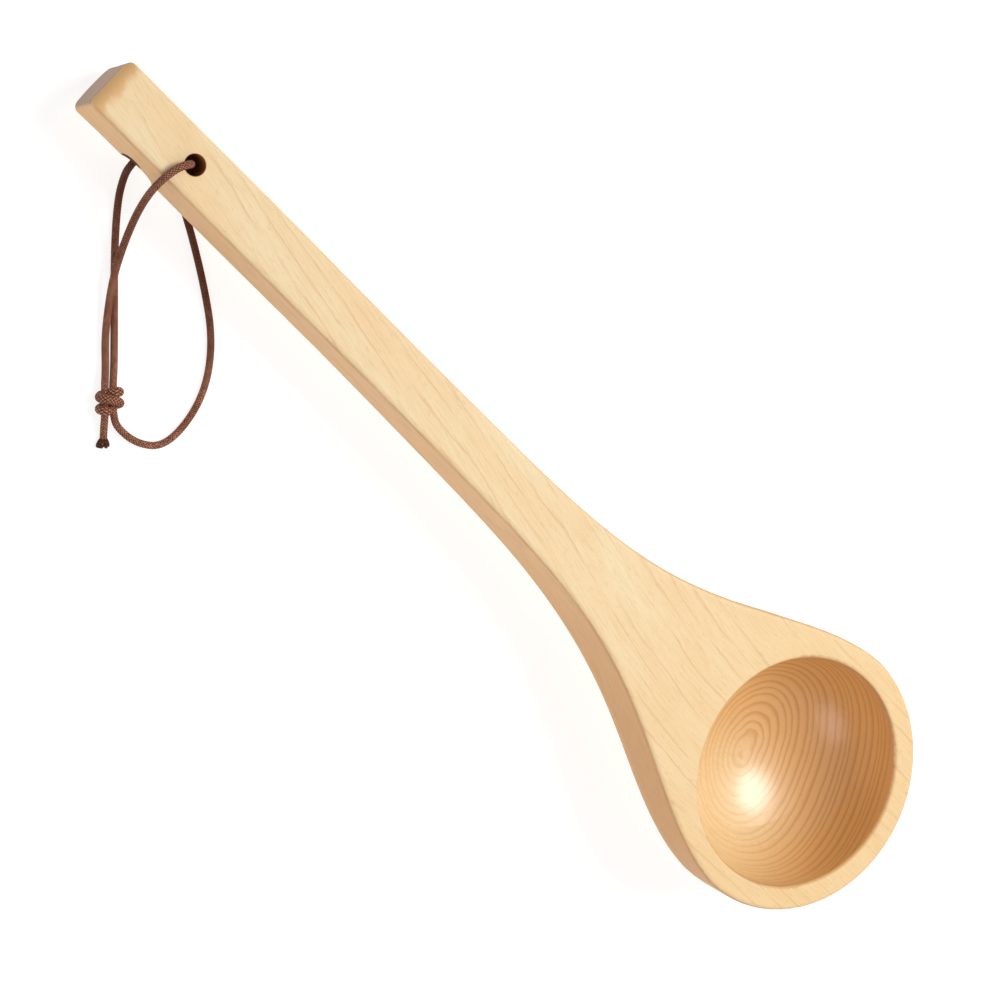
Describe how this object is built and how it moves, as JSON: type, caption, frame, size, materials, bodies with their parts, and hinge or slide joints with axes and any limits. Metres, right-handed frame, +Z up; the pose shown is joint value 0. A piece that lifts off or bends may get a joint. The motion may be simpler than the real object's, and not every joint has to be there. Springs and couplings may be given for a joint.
{
  "type": "sauna_ladle",
  "caption": "Wooden sauna ladle carved from one piece of pale wood, with a deep round bowl, a straight handle and a brown hanging cord",
  "frame": {"origin": "on the surface the ladle rests on, at the bottom centre of the ladle's box, measured without the cord", "axes": "+X along the ladle from the handle's tip to the bowl, +Z up out of the bowl's opening, +Y completing a right-handed frame"},
  "size_m": [0.3996, 0.1323, 0.0498],
  "materials": {
    "ladle_wood": "pale hardwood, sanded smooth, satin",
    "cord": "brown waxed woven cord"
  },
  "bodies": {
    "root": {"ladle": "ladle_wood", "cord_side": "cord", "cord_loop": "cord", "cord_tail": "cord", "cord_knot": "cord"}
  },
  "joints": []
}
